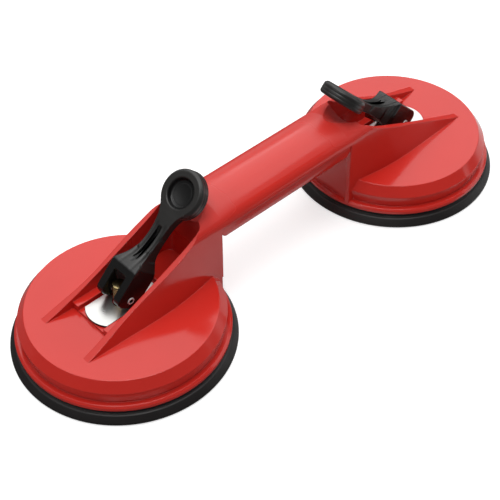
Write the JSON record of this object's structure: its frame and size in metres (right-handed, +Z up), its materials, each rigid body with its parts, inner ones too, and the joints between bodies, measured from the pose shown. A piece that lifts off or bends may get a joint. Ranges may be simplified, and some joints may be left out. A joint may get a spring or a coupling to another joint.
{
  "type": "floor tile suction lifter",
  "caption": "Hand lifter for floor tiles: two rubber suction pads under a shared grip, each drawn up and released by its own cam lever.",
  "frame": {"origin": "on the tile, midway between the two cups", "axes": "+X along the grip, +Y across it, +Z up from the tile"},
  "size_m": [0.319, 0.118, 0.0812],
  "materials": {
    "body_red": "glossy moulded",
    "lever_black": "satin moulded",
    "pad_rubber": "moulded rubber",
    "polished_steel": "polished",
    "plated_steel": "bright zinc",
    "spring_steel": "drawn wire",
    "screw_steel": "zinc",
    "stem_brass": "turned"
  },
  "bodies": {
    "body": {"body_shell": "body_red", "grip_cover": "body_red", "cover_screws": "screw_steel", "left_wear_plate": "polished_steel", "left_rubber_pad": "pad_rubber", "left_seat_washer": "plated_steel", "left_return_spring": "spring_steel", "right_wear_plate": "polished_steel", "right_rubber_pad": "pad_rubber", "right_seat_washer": "plated_steel", "right_return_spring": "spring_steel"},
    "left_stem": {"left_pad_disc": "plated_steel", "left_draw_stem": "stem_brass", "left_stem_nut": "stem_brass"},
    "left_lever": {"left_cam_lever": "lever_black", "left_lever_pin": "plated_steel"},
    "right_stem": {"right_pad_disc": "plated_steel", "right_draw_stem": "stem_brass", "right_stem_nut": "stem_brass"},
    "right_lever": {"right_cam_lever": "lever_black", "right_lever_pin": "plated_steel"}
  },
  "joints": [
    {"name": "left_stem_lift", "type": "slide", "parent": "body", "child": "left_stem", "axis": [0, 0, 1], "range_m": [0, 0.0031], "deforming": ["left_rubber_pad", "left_return_spring"]},
    {"name": "left_lever_swing", "type": "hinge", "parent": "left_stem", "child": "left_lever", "pos_m": [-0.1005, 0, 0.0323], "axis": [0, -1, 0], "range_deg": [0, 135]},
    {"name": "right_stem_lift", "type": "slide", "parent": "body", "child": "right_stem", "axis": [0, 0, 1], "range_m": [0, 0.0031], "deforming": ["right_rubber_pad", "right_return_spring"]},
    {"name": "right_lever_swing", "type": "hinge", "parent": "right_stem", "child": "right_lever", "pos_m": [0.1005, 0, 0.0323], "axis": [0, 1, 0], "range_deg": [0, 135]}
  ],
  "couplings": [
    {"joint": "left_lever_swing", "follows": "left_stem_lift", "rad_per_m": 760},
    {"joint": "right_lever_swing", "follows": "right_stem_lift", "rad_per_m": 760}
  ]
}
